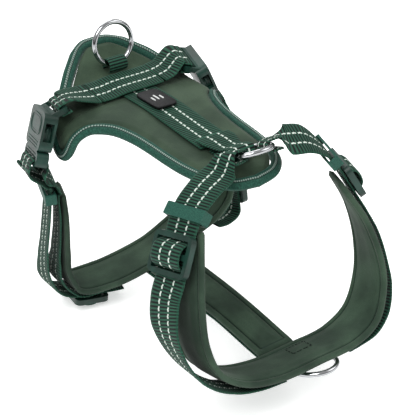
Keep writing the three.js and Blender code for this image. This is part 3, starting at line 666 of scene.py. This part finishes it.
def puff(obj, held):
    """Swells the mesh by cloth pressure where it isn't held, and bakes the result in."""
    rest = np.array([v.co for v in obj.data.vertices])
    work = bpy.data.objects.new("swelling", obj.data.copy())
    bpy.context.scene.collection.objects.link(work)
    group = work.vertex_groups.new(name="held")
    group.add([int(k) for k in np.nonzero(held > 0.5)[0]], 1.0, "REPLACE")
    cloth = work.modifiers.new("Cloth", "CLOTH")
    cloth.settings.quality = 4
    cloth.settings.use_pressure = True
    cloth.settings.uniform_pressure_force = PUFF_PRESSURE
    cloth.settings.vertex_group_mass = "held"
    cloth.settings.effector_weights.gravity = 0
    cloth.collision_settings.use_collision = False
    cloth.point_cache.frame_start = 1
    cloth.point_cache.frame_end = PUFF_FRAMES
    scene = bpy.context.scene
    for number in range(1, PUFF_FRAMES + 1):
        scene.frame_set(number)
    graph = bpy.context.evaluated_depsgraph_get()
    swollen = work.evaluated_get(graph).to_mesh()
    moved = np.array([v.co for v in swollen.vertices]) - rest
    far = np.linalg.norm(moved, axis=1)
    cap = PUFF_CAP * MM
    moved *= (np.tanh(far / cap) * cap / np.maximum(far, 1e-12))[:, None]
    moved[~np.isfinite(moved).all(1)] = 0
    obj.data.vertices.foreach_set("co", (rest + moved).astype(np.float32).ravel())
    obj.data.update()
    mesh = work.data
    bpy.data.objects.remove(work)
    bpy.data.meshes.remove(mesh)
    scene.frame_set(1)


CHEST_ROUTE = vec(
    [-54.5, -145, -20], [-62.5, -152, -41], [-68.5, -159, -60], [-70, -166, -80],
    [-64, -171, -97.5], [-48, -174.5, -109.5], [-24, -177, -115], [8, -177, -116],
    [38, -176.5, -115.5], [57, -174, -108], [67.5, -169, -90], [70, -163, -70], [65, -155, -44],
    [53.8, -146, -20.5],
)
LEAN_LEFT = vec(0.35, 0.94, 0)
TURN_FROM = 8          # route point where the chest pad starts to turn to the left strap
chest_wide = []
for k in range(len(CHEST_ROUTE)):
    turned = max(k - TURN_FROM, 0)
    chest_wide.append(UNDER_CHEST + (LEAN_LEFT - UNDER_CHEST) * turned / 5)
chest_widths = [22, 30] + [34] * 10 + [30, 22]
pad("chest_cushion", CHEST_ROUTE, chest_wide, chest_widths, "harness", "chest_pad")

GIRTH_WIDE = {"left": Y, "right": vec(0.33, 0.94, 0)}


def girth_wide(hand, point):
    """Width direction of the girth, level below and turned to the buckle above."""
    return Y + (GIRTH_WIDE[hand] - Y) * float(smooth(-128, -98, point[2]))


GIRTH_PAD = vec(
    [-57, -1, -56], [-56.4, -1, -72], [-58.2, -2, -95], [-61, -3, -113], [-56, -6, -126.5],
    [-34, -13, -126.5], [0, -22, -115], [28, -22, -104.5], [50, -20, -97], [62, -16, -87],
    [64.6, -9, -66], [63.4, -6, -47],
)
wide = [girth_wide("left" if p[0] > 0 else "right", p) for p in GIRTH_PAD]
pad("girth_cushion", GIRTH_PAD, wide, [20, 28] + [34] * 8 + [30, 20], "harness", "girth_pad")

STERNUM_ROUTE = vec([0, -40.6, -114.5], [0, -70, -114], [0, -110, -114.5], [0, -159.2, -119.6])
wide = [vec(1, 0, rise) for rise in (0.35, 0.2, 0.05, 0)]
pad("sternum_cushion", STERNUM_ROUTE, wide, 27.0, "harness", "sternum_pad")

UNDER_ROUTE = vec(
    [0, -6, -120.2], [0, -22, -120], [0, -60, -119.5], [0, -110, -118.8], [0, -150, -123.1],
    [0, -163, -123.6],
)
wide = [vec(1, 0, rise) for rise in (0.36, 0.36, 0.27, 0.06, 0, 0)]
show(webbing("sternum_strap", UNDER_ROUTE, wide, WEB - 1), "harness", "sternum_webbing")

# ---- buckles ---------------------------------------------------------------------------------------
FRAME_DROP = math.radians(38)
FRAME_SEAT = -2.6
# Top of each buckle, the way down along it and the way out from the dog.
BUCKLES = {
    "left": (vec(51, -3, 10.5), vec(15, 1, -31), vec(1, -0.25, 0)),
    "right": (vec(-65, -4, 5.4), vec(-12, -3, -31), vec(-0.96, 0.27, 0)),
}
# Girth strap round the plug's bar, as (outward, up) in the buckle's own axes.
PLUG_TURN = (
    (-5.4, -41), (-5.9, -37), (-5.2, -32.6), (-2.5, -31.1), (2.5, -31.1), (5.2, -32.6), (5.9, -37),
    (5.4, -41),
)
# Back strap round the frame's bar, as (inward, up) in the frame's tilted axes.
FOLD = ((15, 3.4), (10.7, 3.3), (7.6, 2.9), (6.7, 0), (7.6, -2.9), (10.7, -3.2), (14.4, -3.2))
FOLD_START = {
    "left": [vec(19.6, -2.6, 7.4), vec(27, -2.2, 8.8)],
    "right": [vec(-30.2, -2.6, 6), vec(-33, -2.6, 6.1)],
}
GIRTH_INNER = {
    "left": vec(
        [42, -21.3, -105.2], [55, -20, -101.2], [65.8, -16.4, -91], [69.4, -9.5, -68],
        [67.6, -6, -50], [67.2, -5, -42],
    ),
    "right": vec(
        [-38, -12, -131.8], [-57, -6.6, -132.2], [-67.2, -4, -118], [-65, -2.6, -104],
        [-62.4, -2, -88], [-60.8, -1.4, -72], [-61.2, -1.4, -60], [-61.8, -1.8, -49.5],
        [-66, -4.5, -43.5],
    ),
}
GIRTH_OUTER = {
    "left": vec(
        [75.5, -4, -37], [73.8, -5, -44], [73.6, -6.4, -56], [74.6, -8.4, -72],
        [75.7, -10.4, -88], [76, -12.2, -101], [72.5, -15, -109.5], [62, -18.4, -111.6],
        [50, -20.6, -109.6],
    ),
    "right": vec(
        [-75, -3.4, -40.5], [-69.6, -2, -44.5], [-67.6, -1.2, -49], [-67, -0.8, -58],
        [-69, -0.4, -76], [-71.6, 0, -94], [-73.6, -0.5, -109], [-72.6, -1, -121],
        [-67.5, -1.6, -130], [-58, -2.4, -135], [-49, -3.5, -136.3], [-40.5, -4.6, -137.5],
        [-32, -5.7, -138.7], [-20, -8, -139.4],
    ),
}


def seat(centre, up, outward, offset=0.0):
    """Matrix of a fitting: X away from the dog, Y across the strap, Z up the strap."""
    z = unit(up)
    x = unit(outward - z * np.dot(outward, z))
    m = np.eye(4)
    m[:3, 0], m[:3, 1], m[:3, 2] = x, np.cross(z, x), z
    m[:3, 3] = centre + x * offset
    return m


def put(matrix, point):
    """A point given in a fitting's own axes."""
    return matrix[:3, :3] @ np.asarray(point, float) + matrix[:3, 3]


for hand, (top, down, outward) in BUCKLES.items():
    m = seat(top, -down, outward)
    cos, sin = math.cos(FRAME_DROP), math.sin(FRAME_DROP)
    fold = [put(m, (-a * cos + h * sin, 0, FRAME_SEAT + a * sin + h * cos)) for a, h in FOLD]
    side = m[:3, 1] if m[1, 1] > 0 else -m[:3, 1]
    route = [*FOLD_START[hand], *fold]
    wide = [CROSS_WIDE if k < 2 else side for k in range(len(route))]
    piece = webbing(f"cross_webbing_end_{hand}", route, wide)
    sign = 1 if hand == "left" else -1
    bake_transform(piece)
    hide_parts(f"cross_strap_end_{hand}")
    turn = [put(m, (x, 0, z)) for x, z in PLUG_TURN]
    inner, outer = GIRTH_INNER[hand], GIRTH_OUTER[hand]
    route = [*inner, *turn, *outer]
    wide = [girth_wide(hand, p) for p in inner] + [side] * len(turn)
    wide += [girth_wide(hand, p) for p in outer]
    widths = [WEB - 1 if len(inner) < k < len(inner) + 6 else WEB for k in range(len(route))]
    show(webbing(f"girth_strap_{hand}", route, wide, widths), "harness", f"girth_webbing_{hand}")

# ---- sliders -----------------------------------------------------------------------------------------
GLIDE_THICK = 4.0
GLIDE_LIFT = WEB_THICK / 2 + 1.5 * CLEAR + GLIDE_THICK / 2
HUMP = ((-1, 8), (1.8, 6.8), (4.2, 4.2), (5, 0), (4.2, -4.2), (1.8, -6.8), (-1, -8))


def facing(up, across, outward):
    """Normal of a strap, on its outward side."""
    out = unit(np.cross(across, up))
    return out if np.dot(out, outward) > 0 else -out


def glide_webbing(name, centre, up, outward):
    """The strap's hump over a slider's middle bar."""
    m = seat(centre, up, outward, GLIDE_LIFT)
    route = [put(m, (x, 0, z)) for x, z in HUMP]
    piece = webbing(f"{name}_hump", route, m[:3, 1], WEB - 1)
    show(piece, name.replace("_slider", "_glide"), f"{name}_webbing")


for hand, share, sign in (("left", 0.25, 1), ("right", 0.05, -1)):
    route = SHOULDER[hand]
    run = route[4] - route[6]
    place = route[4] + (route[5] - route[4]) * share
    glide_webbing(f"shoulder_{hand}_slider", place, run, facing(run, SHOULDER_WIDE[hand], vec(sign, 0, 0)))
for hand, k, share, outward in (("left", 4, 0.3, vec(1, 0, 0)), ("right", 10, 0.5, vec(0, 0, -1))):
    route = GIRTH_OUTER[hand]
    run = route[k] - route[k + 1]
    place = route[k] - run * share
    glide_webbing(f"girth_{hand}_slider", place, run, facing(run, Y, outward))


# ---- rings --------------------------------------------------------------------------------------------
def ring(name, radius, matrix, body, node):
    """Bent and welded wire ring with a low weld bead."""
    turns, sides = 96, 20
    verts = []
    for i in range(turns):
        a = 2 * math.pi * i / turns
        gap = abs((a - math.pi * 0.25 + math.pi) % (2 * math.pi) - math.pi)
        wire = RING_WIRE + 0.09 * math.exp(-(gap / 0.05) ** 2)
        for k in range(sides):
            b = 2 * math.pi * k / sides
            reach = radius + wire * math.cos(b)
            verts.append(put(matrix, (reach * math.cos(a), reach * math.sin(a), wire * math.sin(b))))
    obj = new_mesh(name, np.array(verts) + ORIGIN, tube_faces(turns, sides, closed=True), "chrome")
    return show(obj, body, node)


def about_x(angle, centre):
    """Matrix of a turn about X, placed at centre."""
    m = np.eye(4)
    c, s = math.cos(angle), math.sin(angle)
    m[1, 1:3], m[2, 1:3] = (c, -s), (s, c)
    m[:3, 3] = centre
    return m


ring("neck_wire_ring", FRONT_RING, about_x(-NECK_TILT, NECK_RING), "neck_ring_body", "neck_ring")
ring("chest_wire_ring", FRONT_RING, about_x(-CHEST_TILT, CHEST_RING), "chest_ring_body", "chest_ring")
rear_centre = REAR_PIVOT + vec(0, math.sin(REAR_LEAN), math.cos(REAR_LEAN)) * REAR_RING
upright = about_x(math.pi / 2 - REAR_LEAN, rear_centre)
ring("rear_wire_ring", REAR_RING, upright, "rear_ring_body", "rear_ring")

# ---- moulded parts keep their CAD shape, with rounded edges --------------------------------------------
for name, node in nodes.items():
    if node.hide_render or name == "label_patch":
        continue
    look = "keeper" if "keeper" in name else "plastic"
    node.data.materials.clear()
    node.data.materials.append(LOOKS[look])
    flat = node.modifiers.new("Merge flats", "DECIMATE")
    flat.decimate_type = "DISSOLVE"
    flat.angle_limit = math.radians(1.5)
    bevel = node.modifiers.new("Rounded edges", "BEVEL")
    bevel.width = 0.55 * MM
    bevel.segments = 3
    bevel.limit_method = "ANGLE"
    bevel.angle_limit = math.radians(35)
    bevel.harden_normals = True
    node.data.shade_smooth()

# ---- label -----------------------------------------------------------------------------------------------
LABEL = vec(0, -33, 5.4)
LABEL_SIZE = (8.4, 13.4)


def rounded_plate(name, centre, half_x, half_y, low, high, look, corner=0.45, edge=0.5):
    """Plate with round corners in plan and a soft upper edge, lying on the saddle's tilt."""
    turn = np.linspace(0, 2 * np.pi, 73)[:-1]
    power = 2 / (2 + corner * 8)
    plan_x = np.sign(np.cos(turn)) * np.abs(np.cos(turn)) ** power
    plan_y = np.sign(np.sin(turn)) * np.abs(np.sin(turn)) ** power
    verts = []
    for shrink, height in ((0, low), (0, high - edge), (edge * 0.3, high - edge * 0.3), (edge, high)):
        for cx, cy in zip(plan_x, plan_y):
            verts.append(centre + vec((half_x - shrink) * cx, (half_y - shrink) * cy, height))
    obj = new_mesh(name, np.array(verts) + ORIGIN, tube_faces(4, 72), look)
    return show(obj, "harness")


plate = rounded_plate("label_badge", LABEL, *LABEL_SIZE, -0.7, 0.7, "label")
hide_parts("label_patch")


def bar(name, matrix, points, radius, look, body, closed=False, sides=10):
    """Round bead along points in a fitting's own axes."""
    p = np.asarray(points, float)
    ahead = np.roll(p, -1, 0) - np.roll(p, 1, 0) if closed else np.gradient(p, axis=0)
    ahead /= np.linalg.norm(ahead, axis=1)[:, None]
    normal = X - ahead * (ahead @ X)[:, None]
    normal /= np.maximum(np.linalg.norm(normal, axis=1), 1e-9)[:, None]
    side = np.cross(ahead, normal)
    verts = []
    for k in range(len(p)):
        taper = 1.0 if closed else math.sqrt(max(1 - (2 * k / (len(p) - 1) - 1) ** 8, 0.02))
        for j in range(sides):
            a = 2 * math.pi * j / sides
            spot = p[k] + radius * taper * (math.cos(a) * normal[k] + math.sin(a) * side[k])
            verts.append(put(matrix, spot))
    obj = new_mesh(name, np.array(verts) + ORIGIN, tube_faces(len(p), sides, closed), look)
    return show(obj, body)


def oval(half_y, half_z, middle_z, x, power=0.6, count=64):
    """Rounded rectangle round the middle of a buckle's face, x out from its axis."""
    turn = np.linspace(0, 2 * np.pi, count + 1)[:-1]
    bend = lambda v: np.sign(v) * np.abs(v) ** power
    y = half_y * bend(np.cos(turn))
    z = middle_z + half_z * bend(np.sin(turn))
    return np.column_stack([0 * turn + x, y, z])


for hand, (top, down, outward) in BUCKLES.items():
    m = seat(top, -down, outward)
    housing = f"{hand}_housing"
    bar(f"buckle_panel_rim_{hand}", m, oval(11.5, 6.3, -9.5, 4.45), 0.55, "plastic", housing, True)
    bar(f"buckle_panel_line_{hand}", m, oval(9.6, 4.6, -9.5, 4.4), 0.3, "recess", housing, True)
    for number in range(3):
        z = -19.6 - 1.9 * number
        line = [(4.4, y, z) for y in np.linspace(-12.5, 12.5, 21)]
        bar(f"buckle_collar_ridge_{hand}_{number}", m, line, 0.5, "plastic", housing)
    for number in range(2):
        z = -27.6 - 2.2 * number
        line = [(3.95, y, z) for y in np.linspace(-11.5, 11.5, 21)]
        bar(f"buckle_plug_ridge_{hand}_{number}", m, line, 0.5, "plastic", "harness")
    for end, sign in (("rear", 1), ("front", -1)):
        y = sign if hand == "left" else -sign
        line = [(0, y * 12.35, z) for z in np.linspace(-17.4, -9.6, 17)]
        bar(f"buckle_button_{hand}_{end}", m, line, 1.3, "plastic", f"{hand}_{end}_arm")

# A plain mark on the label: three short strokes. The base line runs along X, where bar()
# leaves it without thickness.
mark_top = LABEL[2] + 0.72
for number, x in enumerate((-3.2, 0, 3.2)):
    line = [(x, LABEL[1] + y, mark_top) for y in np.linspace(-3.5, 4.5 if number == 1 else 2, 9)]
    bar(f"label_stroke_{number}", np.eye(4), line, 0.55, "mark", "harness", sides=8)
line = [(-3.5 + 7 * t, LABEL[1] - 7, mark_top) for t in np.linspace(0, 1, 9)]
bar("label_stroke_base", np.eye(4), line, 0.55, "mark", "harness", sides=8)


def on_route(points, wide, spot, offset, lift):
    """Place on a strip: spot is the share of its length, offset across it, lift off its middle."""
    centre, across, up, along, t = walk(points, wide, 1.0)
    k = np.clip(np.searchsorted(along, spot * along[-1]), 0, len(along) - 1)
    return centre[k] + across[k] * offset + up[k] * lift


def stitch_box(name, points, wide, spot, length, width, lift, cross=True, shift=0.0, look="thread"):
    """Box stitch: short thread stitches round a rectangle and along its middle line."""
    total = walk(points, wide, 1.0)[3][-1]
    verts, faces = [], []
    runs = [((-1, -1), (1, -1)), ((1, -1), (1, 1)), ((1, 1), (-1, 1)), ((-1, 1), (-1, -1))]
    if cross:
        runs += [((-1, 0), (1, 0))]
    for (a0, b0), (a1, b1) in runs:
        span = math.hypot((a1 - a0) * length / 2, (b1 - b0) * width / 2)
        count = max(int(span / 2.2), 2)
        for number in range(count):
            ends = []
            for f in ((number + 0.1) / count, (number + 0.85) / count):
                a = a0 + (a1 - a0) * f
                b = b0 + (b1 - b0) * f
                along = spot + a * length / 2 / total
                ends.append(on_route(points, wide, along, b * width / 2 + shift, lift))
            verts_now, faces_now = grain_of_thread(ends[0], ends[1], 0.32)
            faces += [tuple(len(verts) + k for k in f) for f in faces_now]
            verts += verts_now
    obj = new_mesh(name, np.array(verts) + ORIGIN, faces, look)
    return show(obj, "harness")


def grain_of_thread(a, b, radius):
    """One stitch as a short bead with pinched ends."""
    ahead = unit(b - a)
    side = unit(np.cross(ahead, vec(0.31, 0.2, 0.93)))
    high = np.cross(side, ahead)
    verts = []
    for f, r in ((0, 0.3), (0.2, 0.9), (0.8, 0.9), (1, 0.3)):
        for k in range(6):
            angle = math.pi * k / 3
            verts.append(a + (b - a) * f + radius * r * (math.cos(angle) * side + math.sin(angle) * high))
    return verts, tube_faces(4, 6)


stitch_box("chest_box_stitch", CHEST_ROUTE, chest_wide, 0.52, 15, 8, 2.5, False, 5.5, "seam")
stitch_box("cross_box_stitch", CROSS_ROUTE, CROSS_WIDE, 0.42, 20, 21, 0.75)
stitch_box("spine_end_stitch", SPINE_ROUTE, X, 0.93, 6, 20, 0.75, False)

# ---- stage ----------------------------------------------------------------------------------------------
FLOOR = -0.1445        # metres, just under the harness
FLOOR_REACH = 6.0      # metres
corners = ((-1, -1), (1, -1), (1, 1), (-1, 1))
floor_mesh = bpy.data.meshes.new("floor")
floor_places = [(x * FLOOR_REACH, y * FLOOR_REACH, FLOOR) for x, y in corners]
floor_mesh.from_pydata(floor_places, [], [(0, 1, 2, 3)])
floor = bpy.data.objects.new("floor", floor_mesh)
bpy.context.scene.collection.objects.link(floor)
pale = Shader("pale floor", 0.9)
floor_mesh.materials.append(pale.finish(pale.mix(pale.noise(3), rgb(246, 246, 246), rgb(250, 250, 250))))
pale.bsdf.inputs["Emission Color"].default_value = (1, 1, 1, 1)
pale.bsdf.inputs["Emission Strength"].default_value = 0.5

world = bpy.data.worlds.new("studio")
bpy.context.scene.world = world
world.use_nodes = True
tree = world.node_tree
back = tree.nodes["Background"]
spot = tree.nodes.new("ShaderNodeTexCoord")
split = tree.nodes.new("ShaderNodeSeparateXYZ")
tree.links.new(spot.outputs["Generated"], split.inputs[0])
band = tree.nodes.new("ShaderNodeMapRange")
band.interpolation_type = "SMOOTHSTEP"
band.inputs["From Min"].default_value = 0.05
band.inputs["From Max"].default_value = 0.45
band.inputs["To Min"].default_value = 0.12
band.inputs["To Max"].default_value = 1.0
tree.links.new(split.outputs[2], band.inputs[0])
tree.links.new(band.outputs[0], back.inputs[0])
back.inputs[1].default_value = 0.62


def area_light(name, place, size, power):
    """Square soft box aimed at the harness."""
    light = bpy.data.lights.new(name, "AREA")
    light.shape = "SQUARE"
    light.size = size
    light.energy = power
    obj = bpy.data.objects.new(name, light)
    obj.location = place
    obj.rotation_euler = (Vector((0, -0.06, -0.05)) - Vector(place)).to_track_quat("-Z", "Y").to_euler()
    bpy.context.scene.collection.objects.link(obj)


area_light("key light", (-0.7, -0.5, 1.1), 0.8, 13)
area_light("fill light", (0.9, -0.7, 0.8), 0.9, 5)
area_light("back light", (0.3, 0.9, 0.9), 0.8, 6)

camera = bpy.data.objects.new("camera", bpy.data.cameras.new("camera"))
camera.data.lens = 110
camera.data.sensor_width = 36
back_vector = Vector((-0.5212, -0.6916, 0.5)).normalized()
right = Vector((-back_vector.y, back_vector.x, 0)).normalized()
camera.matrix_world = Matrix.Translation((-0.4219, -0.6279, 0.3565)) @ Matrix(
    (right, back_vector.cross(right), back_vector)
).transposed().to_4x4()
bpy.context.scene.collection.objects.link(camera)
bpy.context.scene.camera = camera
bpy.context.scene.view_settings.view_transform = "Standard"
